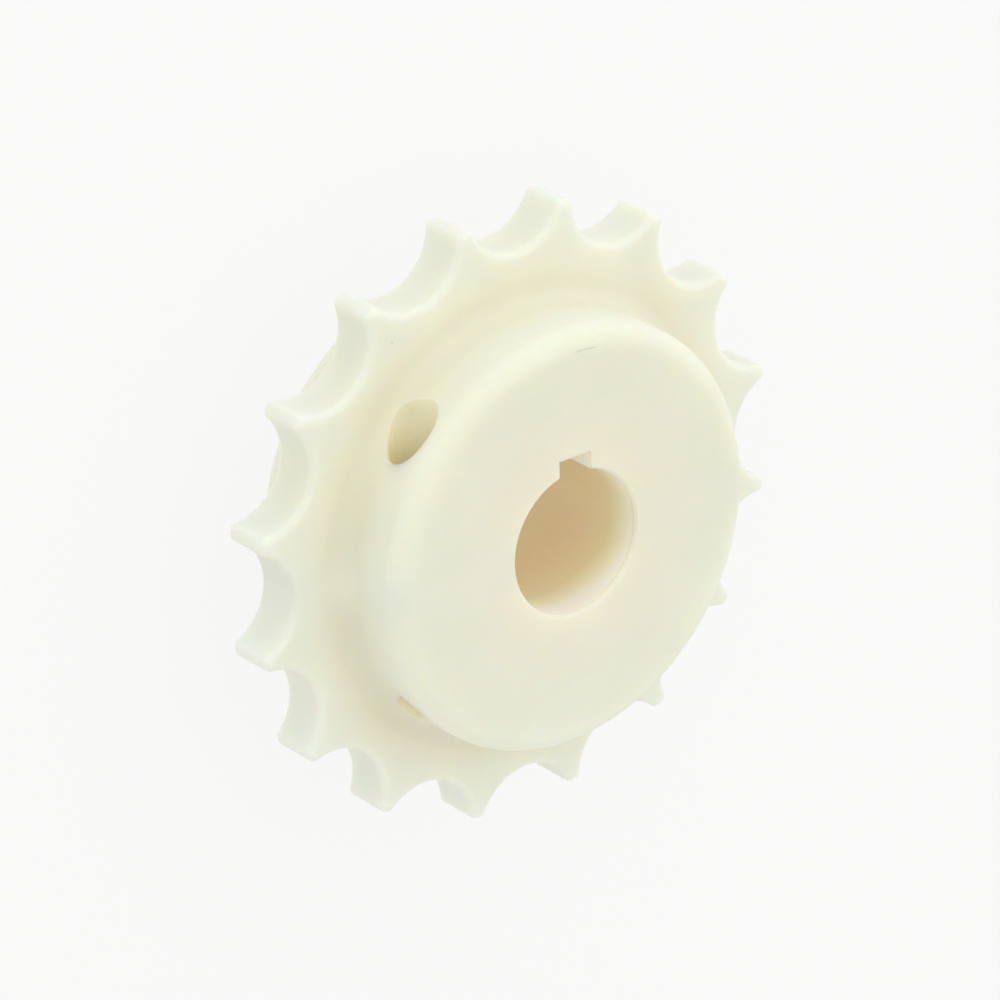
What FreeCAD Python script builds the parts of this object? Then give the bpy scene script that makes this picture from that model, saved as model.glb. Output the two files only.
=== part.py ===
import FreeCAD, Part

import os
from math import cos, pi, radians, sin

# A split sprocket: a toothed rim with a hub on both sides, cut through the shaft axis into two halves.
# Screws across the hubs pull the halves together on a keyed shaft.
# Z is the shaft axis, the back hub face lies on z = 0, the halves meet on y = 0 and the keyway is at +Y.
# All sizes are in millimetres.

# Toothed rim
TEETH = 16
TIP_DIAMETER = 128.0
ROOT_DIAMETER = 111.0
TIP_LAND = 3.2              # width of a tooth's top, between two gaps, before its corners are rounded
TOOTH_WIDTH = 11.2
TOOTH_ROUNDING = 1.4        # rounding of the tooth corners and of the edges round both faces
MOST_ROUNDED = 0.45         # most of a tooth's thickness that one rounding may take

# Hubs
HUB_DIAMETER = 88.0
HUB_WIDTH = 44.0            # over both hub faces
HUB_EDGE = 4.0              # rounding of the hubs' outer edges
NECK_RADIUS = 5.0           # hollow rounding from a hub into the rim

# Shaft seat
BORE_DIAMETER = 30.0
BORE_CHAMFER = 0.5
KEY_WIDTH = 8.0
KEY_SLOT_HEIGHT = 3.3       # above the bore

# Clamping screws, two beside each face of the rim, left and right of the bore
SCREW_SPACING = 63.2        # between the left and the right screw lines
SCREW_LIFT = 6.7            # from the rim's face to a screw line
SEAT_DISTANCE = 10.0        # from the split to the seat of a head or a nut
THREAD_DIAMETER = 5.0
SCREW_LENGTH = 30.0
HEAD_DIAMETER = 8.5
HEAD_HEIGHT = 5.0
HEAD_EDGE = 0.5
SOCKET_FLATS = 4.0
SOCKET_DEPTH = 2.5
TIP_CHAMFER = 0.7
WASHER_THICKNESS = 1.0
NUT_FLATS = 8.0
NUT_HEIGHT = 4.7
NUT_CHAMFER = 0.5

# Clearances, each measured on one side
SHANK_CLEARANCE = 0.25      # clearance hole round the shank
WASHER_CLEARANCE = 0.15     # washer round the shank
WASHER_MARGIN = 0.25        # washer beyond the head
COUNTERBORE_CLEARANCE = 0.4
CHANNEL_CLEARANCE = 0.1     # hexagonal channel round the nut
THREAD_CLEARANCE = 0.02     # nut round the thread

tip_radius = TIP_DIAMETER / 2
root_radius = ROOT_DIAMETER / 2
hub_radius = HUB_DIAMETER / 2
bore_radius = BORE_DIAMETER / 2
rim_back = (HUB_WIDTH - TOOTH_WIDTH) / 2
rim_front = rim_back + TOOTH_WIDTH
washer_radius = HEAD_DIAMETER / 2 + WASHER_MARGIN
counterbore_radius = washer_radius + COUNTERBORE_CLEARANCE
screw_heights = {"front": rim_front + SCREW_LIFT, "back": rim_back - SCREW_LIFT}
left_line = -SCREW_SPACING / 2
right_line = SCREW_SPACING / 2
reach = TIP_DIAMETER        # longer than any cut across a half
pitch = 2 * pi / TEETH      # angle from tooth to tooth
half_land = TIP_LAND / TIP_DIAMETER

Vector = FreeCAD.Vector
Z_AXIS = Vector(0, 0, 1)
Y_AXIS = Vector(0, 1, 0)


def on_circle(radius, angle, height=0.0):
    """Point at a radius and an angle in radians round the shaft axis."""
    return Vector(radius * cos(angle), radius * sin(angle), height)


def arc(start, middle, end):
    return Part.Arc(start, middle, end).toShape()


def thinnest_tooth():
    """A tooth is thinnest at its top or, between deep gaps, level with the centres of their arcs."""
    half_width = tip_radius * sin(pitch / 2 - half_land)
    depth = tip_radius * cos(pitch / 2 - half_land) - root_radius
    gap_radius = (half_width ** 2 + depth ** 2) / (2 * depth)
    centre = root_radius + gap_radius
    if centre * cos(pitch / 2) > tip_radius:
        return TIP_LAND
    return min(TIP_LAND, 2 * centre * sin(pitch / 2) - 2 * gap_radius)


def rim_outline():
    """One flat top and one gap per tooth; a gap is a single arc from corner to corner through the root."""
    edges = []
    for tooth in range(TEETH):
        top = (tooth + 0.5) * pitch
        left_corner = on_circle(tip_radius, top - half_land)
        right_corner = on_circle(tip_radius, top + half_land)
        next_corner = on_circle(tip_radius, top + pitch - half_land)
        edges.append(arc(left_corner, on_circle(tip_radius, top), right_corner))
        edges.append(arc(right_corner, on_circle(root_radius, top + pitch / 2), next_corner))
    return Part.Wire(edges)


def toothed_rim():
    """Full disc with the teeth, rounded at every tooth corner and along both faces."""
    disc = Part.Face(rim_outline()).extrude(Z_AXIS * TOOTH_WIDTH)
    rounding = min(TOOTH_ROUNDING, MOST_ROUNDED * thinnest_tooth())
    disc = disc.makeFillet(rounding, disc.Edges)
    disc.translate(Z_AXIS * rim_back)
    return disc


def section_point(radius, height):
    """Point of a half section in the XZ plane."""
    return Vector(radius, 0, height)


def quarter(centre, radius, start):
    """Quarter circle of a half section, from an angle in degrees, turning anticlockwise for a positive radius."""
    turn = 90 if radius > 0 else -90
    size = abs(radius)
    points = []
    for step in (0, 0.5, 1):
        angle = radians(start + turn * step)
        points.append(centre + Vector(size * cos(angle), 0, size * sin(angle)))
    return arc(*points)


def hub_body():
    """Both hubs turned as one, with rounded outer edges and hollow necks that run out into the rim."""
    inner = hub_radius - HUB_EDGE
    outer = hub_radius + NECK_RADIUS
    top = HUB_WIDTH
    curves = [
        quarter(section_point(inner, HUB_EDGE), HUB_EDGE, -90),
        quarter(section_point(outer, rim_back - NECK_RADIUS), -NECK_RADIUS, 180),
        quarter(section_point(outer, rim_front + NECK_RADIUS), -NECK_RADIUS, 270),
        quarter(section_point(inner, top - HUB_EDGE), HUB_EDGE, 0),
    ]
    edges = [Part.makeLine(section_point(0, 0), section_point(inner, 0))]
    for curve, following in zip(curves, curves[1:]):
        edges.append(curve)
        edges.append(Part.makeLine(curve.Vertexes[-1].Point, following.Vertexes[0].Point))
    edges.append(curves[-1])
    edges.append(Part.makeLine(section_point(inner, top), section_point(0, top)))
    edges.append(Part.makeLine(section_point(0, top), section_point(0, 0)))
    section = Part.Face(Part.Wire(edges))
    return section.revolve(Vector(0, 0, 0), Z_AXIS, 360)


def shaft_seat():
    """What the bore, its two chamfers and the key slot take away."""
    bore = Part.makeCylinder(bore_radius, HUB_WIDTH)
    wide = bore_radius + BORE_CHAMFER
    back_chamfer = Part.makeCone(wide, bore_radius, BORE_CHAMFER)
    front_chamfer = Part.makeCone(bore_radius, wide, BORE_CHAMFER, section_point(0, HUB_WIDTH - BORE_CHAMFER))
    slot_top = bore_radius + KEY_SLOT_HEIGHT
    slot = Part.makeBox(KEY_WIDTH, slot_top, HUB_WIDTH, Vector(-KEY_WIDTH / 2, 0, 0))
    return bore.multiFuse([back_chamfer, front_chamfer, slot])


def rod(radius, start, end):
    """Cylinder along Y between two distances from the split."""
    return Part.makeCylinder(radius, end - start, Y_AXIS * start, Y_AXIS)


def hexagon(flats, start, end):
    """Hexagonal prism along Y, two of its flats facing the hub faces."""
    corner = flats / 2 / cos(pi / 6)
    points = []
    for side in range(7):
        angle = side * pi / 3
        points.append(Vector(corner * cos(angle), start, corner * sin(angle)))
    return Part.Face(Part.makePolygon(points)).extrude(Y_AXIS * (end - start))


def screw_hole():
    """Clearance hole, round counterbore for the head at +Y, and hexagonal channel for the nut at -Y."""
    clearance_hole = rod(THREAD_DIAMETER / 2 + SHANK_CLEARANCE, -SEAT_DISTANCE, SEAT_DISTANCE)
    head_side = rod(counterbore_radius, SEAT_DISTANCE, reach)
    nut_side = hexagon(NUT_FLATS + 2 * CHANNEL_CLEARANCE, -reach, -SEAT_DISTANCE)
    return clearance_hole.multiFuse([head_side, nut_side])


def at_each_screw(shape):
    """Copies of what was made round the Y axis, one on each screw line.

    Those on the right are turned round, head end to -Y, so that both halves are drilled alike.
    """
    copies = {}
    for level, height in screw_heights.items():
        left = shape.copy()
        left.translate(Vector(left_line, 0, height))
        copies[level + "_left"] = left
        right = shape.copy()
        right.rotate(Vector(0, 0, 0), Z_AXIS, 180)
        right.translate(Vector(right_line, 0, height))
        copies[level + "_right"] = right
    return copies


def whole_wheel():
    """The sprocket before it is cut in two."""
    wheel = hub_body().fuse(toothed_rim()).removeSplitter()
    holes = list(at_each_screw(screw_hole()).values())
    return wheel.cut([shaft_seat()] + holes).removeSplitter()


def half(wheel, side):
    """The half of the wheel at +Y (side 1) or at -Y (side -1)."""
    corner = Vector(-reach, 0 if side > 0 else -reach, -reach)
    return wheel.common(Part.makeBox(2 * reach, reach, 2 * reach, corner)).Solids[0]


def screw():
    """Socket head cap screw on the Y axis with its head at +Y."""
    under_head = SEAT_DISTANCE + WASHER_THICKNESS
    top = under_head + HEAD_HEIGHT
    tip = under_head - SCREW_LENGTH
    head = rod(HEAD_DIAMETER / 2, under_head, top)
    rim = [edge for edge in head.Edges if edge.isClosed() and abs(edge.CenterOfMass.y - top) < HEAD_EDGE]
    head = head.makeFillet(HEAD_EDGE, rim)
    shank = rod(THREAD_DIAMETER / 2, tip, under_head)
    end = [edge for edge in shank.Edges if edge.isClosed() and abs(edge.CenterOfMass.y - tip) < TIP_CHAMFER]
    shank = shank.makeChamfer(TIP_CHAMFER, end)
    socket = hexagon(SOCKET_FLATS, top - SOCKET_DEPTH, top)
    return head.fuse(shank).cut(socket).removeSplitter().Solids[0]


def washer():
    """Plain washer between the head and its seat."""
    ring = rod(washer_radius, SEAT_DISTANCE, SEAT_DISTANCE + WASHER_THICKNESS)
    hole = rod(THREAD_DIAMETER / 2 + WASHER_CLEARANCE, SEAT_DISTANCE, SEAT_DISTANCE + WASHER_THICKNESS)
    return ring.cut(hole).Solids[0]


def nut():
    """Hexagonal nut in its channel at -Y, its corners cut back on both faces."""
    outer = -SEAT_DISTANCE - NUT_HEIGHT
    blank = rod(NUT_FLATS / 2 / cos(pi / 6), outer, -SEAT_DISTANCE)
    rims = [edge for edge in blank.Edges if edge.isClosed()]
    blank = blank.makeChamfer(NUT_CHAMFER, rims)
    body = hexagon(NUT_FLATS, outer, -SEAT_DISTANCE).common(blank)
    return body.cut(rod(THREAD_DIAMETER / 2 + THREAD_CLEARANCE, outer, -SEAT_DISTANCE)).Solids[0]


def all_parts():
    """Every node's name and its solid."""
    wheel = whole_wheel()
    parts = {"keyed_half": half(wheel, 1), "plain_half": half(wheel, -1)}
    for kind, piece in (("screw", screw()), ("washer", washer()), ("nut", nut())):
        for place, copy in at_each_screw(piece).items():
            parts[place + "_" + kind] = copy
    return parts


os.makedirs("parts", exist_ok=True)
for name, shape in all_parts().items():
    shape.exportStep("parts/" + name + ".step")
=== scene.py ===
from math import cos, inf, pi, radians, sin, tan

import bmesh
import bpy
from mathutils import Matrix, Vector


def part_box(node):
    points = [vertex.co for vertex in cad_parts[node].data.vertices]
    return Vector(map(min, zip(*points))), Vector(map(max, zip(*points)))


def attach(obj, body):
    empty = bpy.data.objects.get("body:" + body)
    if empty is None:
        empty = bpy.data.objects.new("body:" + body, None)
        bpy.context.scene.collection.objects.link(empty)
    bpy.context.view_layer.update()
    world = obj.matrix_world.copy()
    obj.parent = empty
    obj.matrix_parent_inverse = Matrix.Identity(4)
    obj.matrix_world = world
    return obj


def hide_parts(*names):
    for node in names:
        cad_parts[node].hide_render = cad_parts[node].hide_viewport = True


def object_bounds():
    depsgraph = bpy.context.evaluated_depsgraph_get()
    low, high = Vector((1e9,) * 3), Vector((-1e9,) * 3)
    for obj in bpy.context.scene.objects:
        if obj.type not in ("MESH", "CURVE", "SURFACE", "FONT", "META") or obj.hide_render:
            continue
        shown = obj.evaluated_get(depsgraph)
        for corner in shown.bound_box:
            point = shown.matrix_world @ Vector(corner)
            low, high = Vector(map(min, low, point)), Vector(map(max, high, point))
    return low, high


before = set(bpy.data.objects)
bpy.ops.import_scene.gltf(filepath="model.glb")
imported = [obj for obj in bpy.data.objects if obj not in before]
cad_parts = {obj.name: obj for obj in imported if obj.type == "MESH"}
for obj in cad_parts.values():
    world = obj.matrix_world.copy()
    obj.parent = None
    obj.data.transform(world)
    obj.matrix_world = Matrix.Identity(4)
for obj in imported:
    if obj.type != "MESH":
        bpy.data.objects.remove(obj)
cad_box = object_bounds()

# The split sprocket, lying on its back hub face, seen as in the photograph.
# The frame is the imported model's: Z is the shaft axis and the keyway is at +Y.
# Lengths are in metres, apart from those of the steel pieces, and angles are in degrees.

MM = 0.001

# Camera: a long lens that looks down on the hub face, rolled as the photograph is
AIM = Vector((-0.00115, 0.00170, 0.022))
AIM_DISTANCE = 1.1317
VIEW_AZIMUTH = -126.95      # 0 looks along +Y, 90 along -X
VIEW_ELEVATION = 45.02
VIEW_ROLL = 116.87
LENS = 208.7                # millimetres, as the sensor's width
SENSOR = 36.0

# Sizes of the wheel that its finish follows
mid_height = (cad_box[0].z + cad_box[1].z) / 2
half_hub = mid_height - cad_box[0].z
TIP_RADIUS = 64 * MM
HUB_RADIUS = 44 * MM
FACE_RADIUS = 40 * MM       # of the flat hub face, inside its rounded edge
HALF_RIM = 5.6 * MM
SLOT_RADIUS = 19 * MM       # reaches just beyond the key slot

# Colours of the polyamide, linear. The outward ramp, the hub's side, the bore and mouth colours, the recess
# tan and the hollow and neck tints are painted light and shade.
CORE_CREAM = (0.855, 0.84, 0.712, 1)
HUB_IVORY = (0.828, 0.848, 0.737, 1)
HUB_SIDE = (0.848, 0.876, 0.777, 1)
RIM_IVORY = (0.855, 0.873, 0.768, 1)
TOOTH_WHITE = (0.80, 0.845, 0.79, 1)
BORE_TAN = (0.875, 0.747, 0.532, 1)
BORE_CREAM = (0.85, 0.76, 0.52, 1)
MOUTH_CREAM = (0.89, 0.87, 0.66, 1)
MOUTH_WHITE = (0.95, 0.975, 0.88, 1)
RECESS_GLOW_TAN = (1.0, 0.915, 0.705, 1)
CLOUD_TINT = (0.985, 0.98, 0.965, 1)
KEYED_SIDE_TINT = (0.995, 0.99, 0.96, 1)
HOLLOW_SHADE_TINT = (0.985, 0.965, 0.90, 1)
NECK_SHADE_TINT = (0.99, 0.955, 0.90, 1)
MARK_BROWN = (0.30, 0.27, 0.19, 1)

# Tones outwards, in shares of the tip radius, with painted light through the thin plastic, and painted
# shade and light in the bore from mid height to a hub face
OUTWARD_TONES_AND_LIGHT = ((0.25, CORE_CREAM), (0.60, HUB_IVORY), (0.69, HUB_SIDE),
                 (0.80, RIM_IVORY), (0.95, TOOTH_WHITE))
BORE_SHADE_TONES = ((0.35, BORE_TAN), (0.64, BORE_CREAM), (0.79, MOUTH_CREAM), (0.94, MOUTH_WHITE))

# Where each change of the finish and of the painted shade starts and where it is full
CLOUDS = (0.3, 0.7)                     # of the noise
HOLLOW = (0.85, 0.55)                   # share of open sky
ENCLOSED = (0.70, 0.40)                 # share of open sky
NECK = (9 * MM, 2 * MM)                 # from the corner between hub and rim
BELOW_FACE = (0.3 * MM, 1.5 * MM)       # for the bore's painted shade and light
MILKY = (0.5 * MM, 9 * MM)              # from the split, near which no light goes into the plastic
EDGE_LINE_ACROSS = (0.24 * MM, 0.05 * MM)
EDGE_LINE_ALONG = (3.2 * MM, 2.0 * MM)
SPECK_SIZE = (0.34 * MM, 0.15 * MM)

SLOT_MARGIN = 3 * MM        # beyond SLOT_RADIUS, over which the bore's painted shade ends
SKY_REACH = 22 * MM         # how far a hollow looks for its own walls

# Away from the split, the bore's walls get the paler painted shade of places nearer to a hub face
PALE_FROM = 6 * MM
PALE_RATE = 0.35            # of the distance beyond that

EDGE_LINE_PLACE = (0.0029, 0.0399, 0.044)
SPECK_PLACE = (-0.0309, 0.0456, 0.0276)
MARK_STRENGTH = 0.25
GRAIN_HEIGHT = 0.6          # of the milling grain, as a share of the turning marks' height

# Finish of the steel, with linear colours
STEEL_DARK = (0.47, 0.46, 0.45, 1)
STEEL_LIGHT = (0.66, 0.65, 0.63, 1)
STEEL_SCRATCH = (0.78, 0.77, 0.76, 1)
SCRATCHES = (0.62, 0.72)    # of the noise
SCRATCH_STRENGTH = 0.5
SCRATCH_HEIGHT = -0.5       # as a share of the rings' height
DRAWN_OUT = (1, 0.08, 1)    # scratches run along the screw

# Screws, washers and nuts, in millimetres
STEPS = 72                  # points round each piece
SHARP_ANGLE = 32            # from which an edge is shaded sharp
HEAD_RADIUS = 4.25
HEAD_EDGE = 0.5             # rounding of the head's top
HEAD_FOOT = 0.1             # chamfer under the head
RIDGE_DEPTH = 0.12
RIDGES_DOWN_FROM = 0.15     # below the rounding of the head's top
RIDGES_UP_FROM = 0.55       # above the head's underside
BAND_HEIGHT = 0.4           # plain band under the ridges
SOCKET_FLATS = 4.0
SOCKET_DEPTH = 2.5
SOCKET_CHAMFER = 0.25
SOCKET_MOUTH = 2.45
SOCKET_CONE = 0.5           # depth of the drilled point below the socket
SHANK_FOOT_WIDTH = 0.15     # of the slope between shank and head
SHANK_FOOT_HEIGHT = 0.2
THREAD_RADIUS = 2.46
THREAD_ROOT = 2.03
THREAD_PITCH = 0.8
THREAD_CREST = 0.06         # half of the flat crest, in shares of the pitch
THREAD_FLANK = 0.34         # a flank, in shares of the pitch
THREAD_ROWS = 12            # rows to each turn
THREAD_MARGIN = 0.1         # left round the thread, and above it on the screw
PLAIN_END = 3.0             # the screw's thread runs from here to the tip
END_RADIUS = 1.75           # of the screw's flat end
END_CONE = 1.8              # where the cone that cuts the thread back meets the end
WASHER_RADIUS = 4.5
WASHER_HOLE = 2.65
WASHER_EDGE = 0.15
NUT_FLATS = 8.0
NUT_RING = 3.85             # radius of the flat ring on each face, inside the cut-back corners
NUT_CUTS = (0.0, 0.12, 0.25, 0.4, 0.55)     # depths of the rows that cut the corners back
NUT_CUT_ANGLE = 30
NUT_THREAD_GAP = 0.04       # between its thread and the screw's
NUT_THREAD_END = 0.05       # from a face to the first row of the thread
COUNTERSINK = 2.75

# Light and surroundings
BACKGROUND = (0.956, 0.956, 0.956, 1)
FLOOR_SIDE = 8.0
FLOOR_GAP = 0.05 * MM
FLOOR_OWN_WHITE = 0.85      # share of the floor's white that is its own
FLOOR_FILL = 0.92           # strength of that white as light on the wheel
SKY_BRIGHT_WAY = (0.342, 0.94, -0.016)      # where most of the fill light comes from
SKY_BRIGHT = (1.0, 1.0, 1.0, 1)
SKY_DIM = (0.68, 0.67, 0.616, 1)
SKY_STRENGTH = 1.105
BOUNCES = 10                # off the plastic, which the bore and the gaps need
ALL_BOUNCES = 16


def along_axis(node):
    """Lowest and highest Y of a node, in millimetres. Y is the direction of the screws."""
    return [round(corner.y / MM, 3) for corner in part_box(node)]


def screw_line(level, side):
    """Where a screw's axis crosses the split, from the box of its nut."""
    low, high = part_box(level + "_" + side + "_nut")
    middle = (low + high) / 2 / MM
    return Vector((round(middle.x, 3), 0, round(middle.z, 3))) * MM


screw_tip, head_top = along_axis("front_left_screw")
seat, under_head = along_axis("front_left_washer")
nut_low, nut_high = along_axis("front_left_nut")


def add(tree, kind, sockets=None, **settings):
    """Adds a shader node. sockets maps an input's name or number to a value or to another node's output."""
    made = tree.nodes.new("ShaderNode" + kind)
    for name, value in settings.items():
        setattr(made, name, value)
    for name, value in (sockets or {}).items():
        if isinstance(value, bpy.types.NodeSocket):
            tree.links.new(value, made.inputs[name])
        else:
            made.inputs[name].default_value = value
    return made


def new_material(name):
    """Empty node material and its tree."""
    material = bpy.data.materials.new(name)
    material.use_nodes = True
    material.node_tree.nodes.clear()
    return material, material.node_tree


def close_material(tree, shader):
    """Shows a shader node on the surface."""
    add(tree, "OutputMaterial", {"Surface": shader.outputs[0]})


def math_node(tree, operation, *values):
    """Output of one Math node. Its values are numbers or other nodes' outputs."""
    return add(tree, "Math", dict(enumerate(values)), operation=operation).outputs[0]


def vector_node(tree, operation, result, *values):
    """Named output of one Vector Math node."""
    return add(tree, "VectorMath", dict(enumerate(values)), operation=operation).outputs[result]


def smooth_range(tree, value, start, end):
    """Output that rises smoothly from 0 to 1 while the value goes from start to end."""
    return add(tree, "MapRange", {"Value": value, "From Min": start, "From Max": end},
               interpolation_type="SMOOTHSTEP").outputs["Result"]


def even_range(tree, value, low, high):
    """Output that goes from low to high while the value goes from 0 to 1."""
    return add(tree, "MapRange", {"Value": value, "To Min": low, "To Max": high}).outputs["Result"]


def colour_mix(tree, factor, first, second, blend="MIX"):
    """Output of one Mix node for colours."""
    return add(tree, "Mix", {0: factor, 6: first, 7: second}, data_type="RGBA", blend_type=blend).outputs[2]


def tinted(tree, factor, tone, tint):
    """Tone times a tint, as far as the factor goes."""
    return colour_mix(tree, factor, tone, tint, "MULTIPLY")


def colour_stops(tree, value, stops):
    """Colour ramp through (place, colour) pairs."""
    ramp = add(tree, "ValToRGB", {"Fac": value})
    elements = ramp.color_ramp.elements
    elements[0].position, elements[0].color = stops[0]
    elements[1].position, elements[1].color = stops[-1]
    for place, colour in stops[1:-1]:
        elements.new(place).color = colour
    return ramp.outputs["Color"]


def noise(tree, place, scale, detail):
    """Noise that changes from place to place."""
    return add(tree, "TexNoise", {"Vector": place, "Scale": scale, "Detail": detail}).outputs["Fac"]


def line_noise(tree, distance, scale, detail):
    """Noise that changes with one distance alone, such as the marks of a turning tool."""
    return add(tree, "TexNoise", {"W": distance, "Scale": scale, "Detail": detail},
               noise_dimensions="1D").outputs["Fac"]


def bump(tree, height, strength, depth):
    """Normal of a surface with a fine relief."""
    return add(tree, "Bump", {"Strength": strength, "Distance": depth, "Height": height}).outputs["Normal"]


def near_point(tree, place, point, outer, inner):
    """One close to a point, falling smoothly to zero at the outer distance."""
    distance = vector_node(tree, "DISTANCE", "Value", place, point)
    return smooth_range(tree, distance, outer, inner)


def outward_tone_and_light(tree, place, radius, clouds):
    """Painted light: cooler and paler outwards, where light comes through the thin plastic, and paler on
    the hub's side. A little warmer on the keyway's side.
    """
    tone = colour_stops(tree, math_node(tree, "DIVIDE", radius, TIP_RADIUS), OUTWARD_TONES_AND_LIGHT)
    tone = tinted(tree, smooth_range(tree, clouds, *CLOUDS), tone, CLOUD_TINT)
    along_y = add(tree, "SeparateXYZ", {0: place}).outputs["Y"]
    return tinted(tree, smooth_range(tree, along_y, -HUB_RADIUS, HUB_RADIUS), tone, KEYED_SIDE_TINT)


def hollow_shade_tone(tree, tone, radius, from_middle, outside_bore):
    """Painted shade: hollows, found by how little open sky they see, are a little darker and warmer, the
    necks most. Enclosed holes get a bright tan, painted light through the plastic.
    """
    sky = add(tree, "AmbientOcclusion", {"Distance": SKY_REACH}, samples=4, only_local=True)
    open_sky = sky.outputs["AO"]
    tone = tinted(tree, smooth_range(tree, open_sky, *HOLLOW), tone, HOLLOW_SHADE_TINT)
    beyond_hub = math_node(tree, "SUBTRACT", radius, HUB_RADIUS)
    above_rim = math_node(tree, "SUBTRACT", from_middle, HALF_RIM)
    to_corner = add(tree, "CombineXYZ", {0: beyond_hub, 1: above_rim}).outputs[0]
    from_corner = vector_node(tree, "LENGTH", "Value", to_corner)
    tone = tinted(tree, smooth_range(tree, from_corner, *NECK), tone, NECK_SHADE_TINT)
    enclosed = math_node(tree, "MULTIPLY", smooth_range(tree, open_sky, *ENCLOSED), outside_bore)
    return colour_mix(tree, enclosed, tone, RECESS_GLOW_TAN)


def bore_shade_tone(tree, tone, from_middle, from_split, outside_bore):
    """Bore and key slot, with painted shade and light: white at their mouths, then tan, which starts deeper
    away from the split.
    """
    below_face = smooth_range(tree, from_middle, *(half_hub - depth for depth in BELOW_FACE))
    in_bore = math_node(tree, "MULTIPLY", math_node(tree, "SUBTRACT", 1.0, outside_bore), below_face)
    aside = math_node(tree, "MAXIMUM", math_node(tree, "SUBTRACT", from_split, PALE_FROM), 0.0)
    towards_face = math_node(tree, "MULTIPLY_ADD", aside, PALE_RATE, from_middle)
    stops = colour_stops(tree, math_node(tree, "DIVIDE", towards_face, half_hub), BORE_SHADE_TONES)
    return colour_mix(tree, in_bore, tone, stops)


def marked_tone(tree, tone, place, radius):
    """Two small brown marks: a short dark line along the front face's edge and a speck on the rim."""
    off_edge = math_node(tree, "ABSOLUTE", math_node(tree, "SUBTRACT", radius, FACE_RADIUS))
    edge_line = math_node(tree, "MULTIPLY", smooth_range(tree, off_edge, *EDGE_LINE_ACROSS),
                     near_point(tree, place, EDGE_LINE_PLACE, *EDGE_LINE_ALONG))
    mark = math_node(tree, "MAXIMUM", edge_line, near_point(tree, place, SPECK_PLACE, *SPECK_SIZE))
    return colour_mix(tree, math_node(tree, "MULTIPLY", mark, MARK_STRENGTH), tone, MARK_BROWN)


def machined_polyamide():
    """Cast ivory polyamide, turned and milled: satin and milky, with fine marks of the tools, and with
    painted light and shade in its colour.
    """
    material, tree = new_material("machined_polyamide")
    place = add(tree, "TexCoord").outputs["Object"]
    axes = add(tree, "SeparateXYZ", {0: place}).outputs
    radius = vector_node(tree, "LENGTH", "Value", vector_node(tree, "MULTIPLY", 0, place, (1, 1, 0)))
    from_split = math_node(tree, "ABSOLUTE", axes["Y"])
    from_middle = math_node(tree, "ABSOLUTE", math_node(tree, "SUBTRACT", axes["Z"], mid_height))
    outside_bore = smooth_range(tree, radius, SLOT_RADIUS, SLOT_RADIUS + SLOT_MARGIN)
    clouds = noise(tree, place, scale=55.0, detail=2.0)

    # The tones below carry painted light through the thin plastic and painted shade in the hollows, the
    # neck and the bore.
    tone = outward_tone_and_light(tree, place, radius, clouds)
    tone = hollow_shade_tone(tree, tone, radius, from_middle, outside_bore)
    tone = bore_shade_tone(tree, tone, from_middle, from_split, outside_bore)
    tone = marked_tone(tree, tone, place, radius)

    turning = line_noise(tree, math_node(tree, "SUBTRACT", radius, from_middle), scale=5200.0, detail=2.0)
    grain = noise(tree, place, scale=2600.0, detail=3.0)
    height = math_node(tree, "MULTIPLY_ADD", grain, GRAIN_HEIGHT, turning)

    close_material(tree, add(tree, "BsdfPrincipled", {
        "Base Color": tone,
        "Roughness": even_range(tree, clouds, low=0.52, high=0.64),
        "IOR": 1.53,
        "Subsurface Weight": smooth_range(tree, from_split, *MILKY),
        "Subsurface Radius": (1.0, 0.72, 0.42),
        "Subsurface Scale": 6 * MM,
        "Normal": bump(tree, height, strength=0.35, depth=0.012 * MM),
    }))
    return material


def stainless_steel():
    """Stainless steel, turned round the screw's axis, with fine rings and a few scratches."""
    material, tree = new_material("stainless_steel")
    place = add(tree, "TexCoord").outputs["Object"]
    axes = add(tree, "SeparateXYZ", {0: place}).outputs
    radius = vector_node(tree, "LENGTH", "Value", vector_node(tree, "MULTIPLY", 0, place, (1, 0, 1)))
    rings = line_noise(tree, math_node(tree, "ADD", radius, axes["Y"]), scale=9000.0, detail=3.0)
    blotches = noise(tree, place, scale=420.0, detail=3.0)
    streaks = noise(tree, vector_node(tree, "MULTIPLY", 0, place, DRAWN_OUT), scale=5200.0, detail=2.0)
    scratched = smooth_range(tree, streaks, *SCRATCHES)

    tone = colour_mix(tree, blotches, STEEL_DARK, STEEL_LIGHT)
    tone = colour_mix(tree, math_node(tree, "MULTIPLY", scratched, SCRATCH_STRENGTH), tone, STEEL_SCRATCH)
    height = math_node(tree, "MULTIPLY_ADD", scratched, SCRATCH_HEIGHT, rings)
    close_material(tree, add(tree, "BsdfPrincipled", {
        "Base Color": tone,
        "Metallic": 1.0,
        "Roughness": even_range(tree, rings, low=0.24, high=0.42),
        "Normal": bump(tree, height, strength=0.4, depth=0.006 * MM),
    }))
    return material


def finish_nodes(polyamide, steel):
    """Gives every CAD node its material."""
    for name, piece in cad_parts.items():
        material = polyamide if name.endswith("half") else steel
        if not piece.material_slots:
            piece.data.materials.append(material)
        for slot in piece.material_slots:
            slot.material = material


def circle(radius, height):
    """Row of points round a screw's axis: a function from the angle to a radius and a height."""
    return lambda angle: (radius, height)


def rounded_edge(radius, height, rounding, start):
    """Rows over a quarter turn from a start angle. The rounding's centre is at the radius and height."""
    turns = [radians(start - turn) for turn in (0, 30, 60, 90)]
    return [circle(radius + rounding * cos(turn), height + rounding * sin(turn)) for turn in turns]


def hexagon(flats, height, limit=inf):
    """Row round a hexagon, with its corners cut back to a largest radius."""
    return lambda angle: (min(flats / 2 / cos(angle % (pi / 3) - pi / 6), limit), height)


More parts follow.
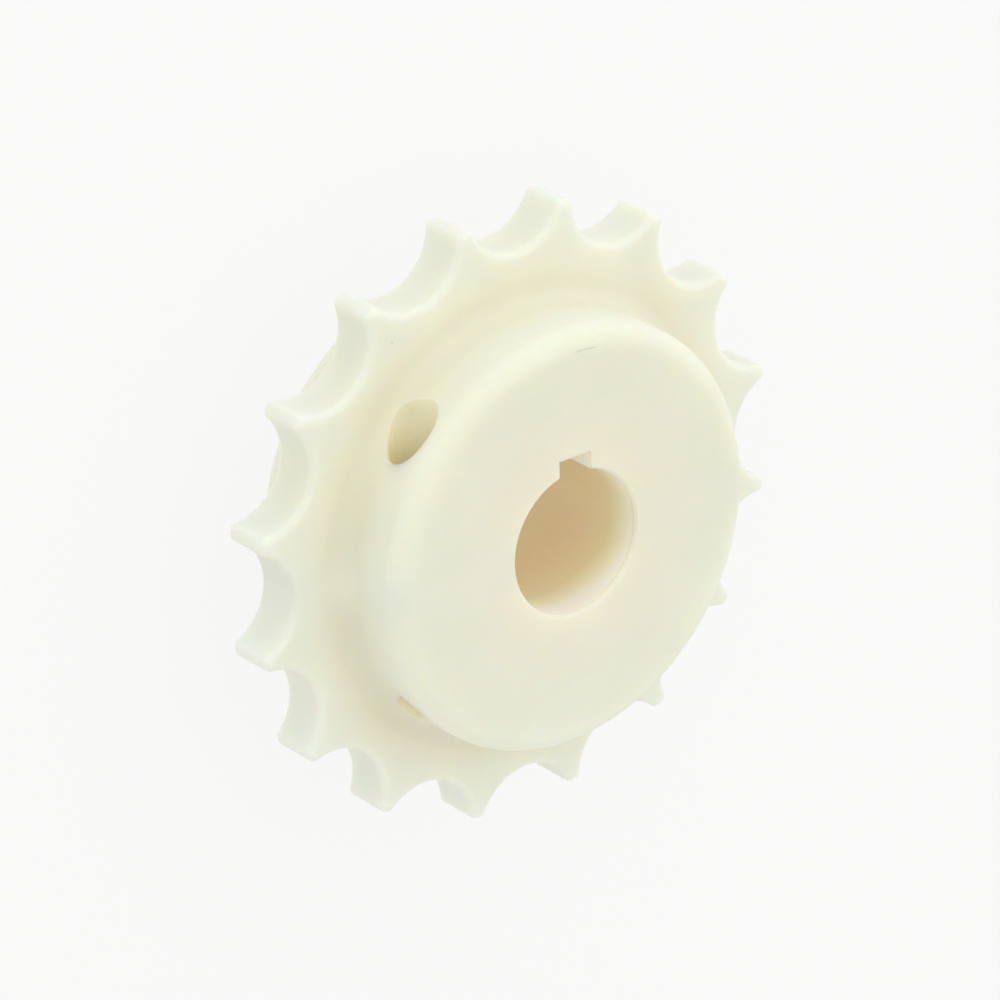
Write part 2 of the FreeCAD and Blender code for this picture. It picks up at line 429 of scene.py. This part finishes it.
def ridges(radius, height):
    """Row round the grip of a screw head: every second point lies in a groove."""
    return lambda angle: (radius - RIDGE_DEPTH * (round(angle / (2 * pi) * STEPS) % 2), height)


def thread(height, gap, depth=1.0):
    """Row through a right-handed thread, for the screw (gap 0) or for the nut that runs on it."""
    def row(angle):
        turn = (height / THREAD_PITCH + angle / (2 * pi)) % 1.0
        slope = min(max((abs(turn - 0.5) - THREAD_CREST) / THREAD_FLANK, 0.0), 1.0)
        return THREAD_RADIUS - (THREAD_RADIUS - THREAD_ROOT) * slope * depth + gap, height
    return row


def cut_back(row):
    """The same row with the chamfer of the screw's tip: no radius beyond a cone."""
    def cut(angle):
        radius, height = row(angle)
        return min(radius, END_CONE + max(height - screw_tip, 0.0)), height
    return cut


def countersunk(row, from_face):
    """The same row of the nut's thread, cut open towards the face."""
    def cut(angle):
        radius, height = row(angle)
        return max(radius, COUNTERSINK - from_face), height
    return cut


def screw_rows():
    """From the bottom of the socket over the head and down to the tip."""
    rows = [hexagon(SOCKET_FLATS, head_top - SOCKET_DEPTH),
            hexagon(SOCKET_FLATS, head_top - SOCKET_CHAMFER),
            circle(SOCKET_MOUTH, head_top)]
    rows += rounded_edge(HEAD_RADIUS - HEAD_EDGE, head_top - HEAD_EDGE, HEAD_EDGE, 90)
    rows += [ridges(HEAD_RADIUS, head_top - HEAD_EDGE - RIDGES_DOWN_FROM),
             ridges(HEAD_RADIUS, under_head + RIDGES_UP_FROM),
             circle(HEAD_RADIUS, under_head + BAND_HEIGHT),
             circle(HEAD_RADIUS, under_head + HEAD_FOOT),
             circle(HEAD_RADIUS - HEAD_FOOT, under_head),
             circle(THREAD_RADIUS + SHANK_FOOT_WIDTH, under_head),
             circle(THREAD_RADIUS, under_head - SHANK_FOOT_HEIGHT),
             circle(THREAD_RADIUS, PLAIN_END + THREAD_MARGIN)]
    steps = round(THREAD_ROWS * (PLAIN_END - screw_tip) / THREAD_PITCH)
    for step in range(steps + 1):
        height = PLAIN_END + (screw_tip - PLAIN_END) * step / steps
        run_in = min((PLAIN_END - height) / THREAD_PITCH, 1.0)
        rows.append(thread(height, 0.0, run_in))
    return [cut_back(row) for row in rows] + [circle(END_RADIUS, screw_tip)]


def washer_rows():
    """Round the ring's section, with small roundings at its edges."""
    inner, outer = WASHER_HOLE + WASHER_EDGE, WASHER_RADIUS - WASHER_EDGE
    low, high = seat + WASHER_EDGE, under_head - WASHER_EDGE
    return (rounded_edge(outer, high, WASHER_EDGE, 90) + rounded_edge(outer, low, WASHER_EDGE, 0)
            + rounded_edge(inner, low, WASHER_EDGE, -90) + rounded_edge(inner, high, WASHER_EDGE, -180))


def nut_corners(face, inwards, cuts):
    """Rows of a hexagon whose corners are cut back towards a face."""
    slope = tan(radians(NUT_CUT_ANGLE))
    return [hexagon(NUT_FLATS, face + inwards * cut, NUT_RING + cut / slope) for cut in cuts]


def nut_rows():
    """Down the outside, whose corners are cut back at both faces, and up through the thread."""
    rows = nut_corners(nut_high, -1, NUT_CUTS) + nut_corners(nut_low, 1, NUT_CUTS[::-1])
    rows.append(circle(COUNTERSINK, nut_low))
    low, high = nut_low + NUT_THREAD_END, nut_high - NUT_THREAD_END
    steps = round(THREAD_ROWS * (nut_high - nut_low) / THREAD_PITCH)
    for step in range(steps + 1):
        height = low + (high - low) * step / steps
        from_face = min(height - nut_low, nut_high - height)
        rows.append(countersunk(thread(height, NUT_THREAD_GAP), from_face))
    rows.append(circle(COUNTERSINK, nut_high))
    return rows


def shade_smooth(mesh):
    """Turns the faces outwards and shades them smooth, apart from sharp edges outside the thread."""
    work = bmesh.new()
    work.from_mesh(mesh)
    bmesh.ops.recalc_face_normals(work, faces=work.faces)
    for edge in work.edges:
        middle = (edge.verts[0].co + edge.verts[1].co) / 2 / MM
        near_shank = Vector((middle.x, middle.z)).length < THREAD_RADIUS + THREAD_MARGIN
        in_thread = near_shank and screw_tip < middle.y < PLAIN_END
        edge.smooth = in_thread or edge.calc_face_angle(0) < radians(SHARP_ANGLE)
    for face in work.faces:
        face.smooth = True
    work.to_mesh(mesh)
    work.free()


def turned_piece(name, rows, ends, material):
    """Mesh through rows round the Y axis, in millimetres.

    Points on the axis at the heights in ends close the first and the last row. Without ends these two join.
    """
    points = []
    for row in rows:
        for step in range(STEPS):
            angle = 2 * pi * step / STEPS
            radius, height = row(angle)
            points.append((radius * cos(angle) * MM, height * MM, radius * sin(angle) * MM))
    faces = []
    for upper in range(len(rows) - 1 if ends else len(rows)):
        above, below = upper * STEPS, (upper + 1) % len(rows) * STEPS
        for step in range(STEPS):
            after = (step + 1) % STEPS
            faces.append((above + step, above + after, below + after, below + step))
    for row_start, height in zip((0, (len(rows) - 1) * STEPS), ends):
        middle = len(points)
        points.append((0, height * MM, 0))
        for step in range(STEPS):
            faces.append((middle, row_start + step, row_start + (step + 1) % STEPS))
    mesh = bpy.data.meshes.new(name)
    mesh.from_pydata(points, [], faces)
    mesh.validate()
    shade_smooth(mesh)
    mesh.materials.append(material)
    return mesh


def steel_pieces(material):
    """A screw, washer and nut on each line. Those on the right are turned round, head end to -Y."""
    screw_ends = (head_top - SOCKET_DEPTH - SOCKET_CONE, screw_tip)
    for kind, rows, ends in (("screw", screw_rows(), screw_ends), ("washer", washer_rows(), ()),
                             ("nut", nut_rows(), ())):
        mesh = turned_piece("fine_" + kind, rows, ends, material)
        for level in ("front", "back"):
            for side, turn in (("left", 0), ("right", 180)):
                node = level + "_" + side + "_" + kind
                piece = bpy.data.objects.new("fine_" + node, mesh.copy())
                bpy.context.scene.collection.objects.link(piece)
                place = Matrix.Translation(screw_line(level, side))
                piece.matrix_world = place @ Matrix.Rotation(radians(turn), 4, "Z")
                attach(piece, "root")
                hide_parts(node)


def seen_directly(tree):
    """One for rays from the camera, through gloss and glass too, and zero for rays that light the wheel."""
    path = add(tree, "LightPath").outputs
    seen = math_node(tree, "MAXIMUM", path["Is Camera Ray"], path["Is Glossy Ray"])
    return math_node(tree, "MAXIMUM", seen, path["Is Transmission Ray"])


def pale_floor():
    """Pale floor like a light table: most of its white is its own, so the wheel's shadow on it is faint."""
    material, tree = new_material("pale_floor")
    lit = add(tree, "BsdfDiffuse", {"Color": BACKGROUND})
    strength = even_range(tree, seen_directly(tree), FLOOR_FILL, 1.0)
    own = add(tree, "Emission", {"Color": BACKGROUND, "Strength": strength})
    close_material(tree, add(tree, "MixShader", {0: FLOOR_OWN_WHITE, 1: lit.outputs[0], 2: own.outputs[0]}))
    mesh = bpy.data.meshes.new("floor")
    reach = FLOOR_SIDE / 2
    corners = [(-reach, -reach, 0), (reach, -reach, 0), (reach, reach, 0), (-reach, reach, 0)]
    mesh.from_pydata(corners, [], [(0, 1, 2, 3)])
    mesh.materials.append(material)
    floor = bpy.data.objects.new("floor", mesh)
    floor.location.z = cad_box[0].z - FLOOR_GAP
    bpy.context.scene.collection.objects.link(floor)


def studio_world():
    """White surroundings, seen as an even background, whose light is dimmer and warmer from one side."""
    world = bpy.data.worlds.new("studio")
    world.use_nodes = True
    tree = world.node_tree
    tree.nodes.clear()
    way = add(tree, "TexCoord").outputs["Generated"]
    brighter = vector_node(tree, "DOT_PRODUCT", "Value", way, SKY_BRIGHT_WAY)
    share = add(tree, "MapRange", {"Value": brighter, "From Min": -1.0, "From Max": 1.0}).outputs["Result"]
    light = colour_stops(tree, share, ((0.0, SKY_DIM), (1.0, SKY_BRIGHT)))
    fill = add(tree, "Background", {"Color": light, "Strength": SKY_STRENGTH})
    backdrop = add(tree, "Background", {"Color": BACKGROUND, "Strength": 1.0})
    mixed = add(tree, "MixShader", {0: seen_directly(tree), 1: fill.outputs[0], 2: backdrop.outputs[0]})
    add(tree, "OutputWorld", {"Surface": mixed.outputs[0]})
    bpy.context.scene.world = world


def softbox(name, azimuth, elevation, distance, size, power):
    """Square area lamp that looks at the wheel. Its azimuth is measured from +X towards +Y."""
    lamp = bpy.data.lights.new(name, "AREA")
    lamp.size = size
    lamp.energy = power
    holder = bpy.data.objects.new(name, lamp)
    turn, rise = radians(azimuth), radians(elevation)
    outward = Vector((cos(turn) * cos(rise), sin(turn) * cos(rise), sin(rise)))
    holder.location = AIM + outward * distance
    holder.rotation_mode = "QUATERNION"
    holder.rotation_quaternion = outward.to_track_quat("Z", "Y")
    bpy.context.scene.collection.objects.link(holder)


def photograph_camera():
    """Camera on the photograph's line of sight, with its roll."""
    turn, rise, roll = radians(VIEW_AZIMUTH), radians(VIEW_ELEVATION), radians(VIEW_ROLL)
    back = Vector((sin(turn) * cos(rise), -cos(turn) * cos(rise), sin(rise)))
    level_right = (-back).cross(Vector((0, 0, 1))).normalized()
    level_up = back.cross(level_right)
    right = level_right * cos(roll) + level_up * sin(roll)
    up = back.cross(right)
    data = bpy.data.cameras.new("photograph")
    data.lens = LENS
    data.sensor_width = SENSOR
    camera = bpy.data.objects.new("photograph", data)
    facing = Matrix((right, up, back)).transposed().to_4x4()
    camera.matrix_world = Matrix.Translation(AIM + back * AIM_DISTANCE) @ facing
    bpy.context.scene.collection.objects.link(camera)
    bpy.context.scene.camera = camera


bpy.context.scene.view_settings.view_transform = "Standard"
bpy.context.scene.cycles.diffuse_bounces = BOUNCES
bpy.context.scene.cycles.max_bounces = ALL_BOUNCES

steel = stainless_steel()
finish_nodes(machined_polyamide(), steel)
steel_pieces(steel)
pale_floor()
studio_world()
softbox("key", azimuth=92, elevation=27, distance=1.2, size=1.0, power=1.3)
photograph_camera()
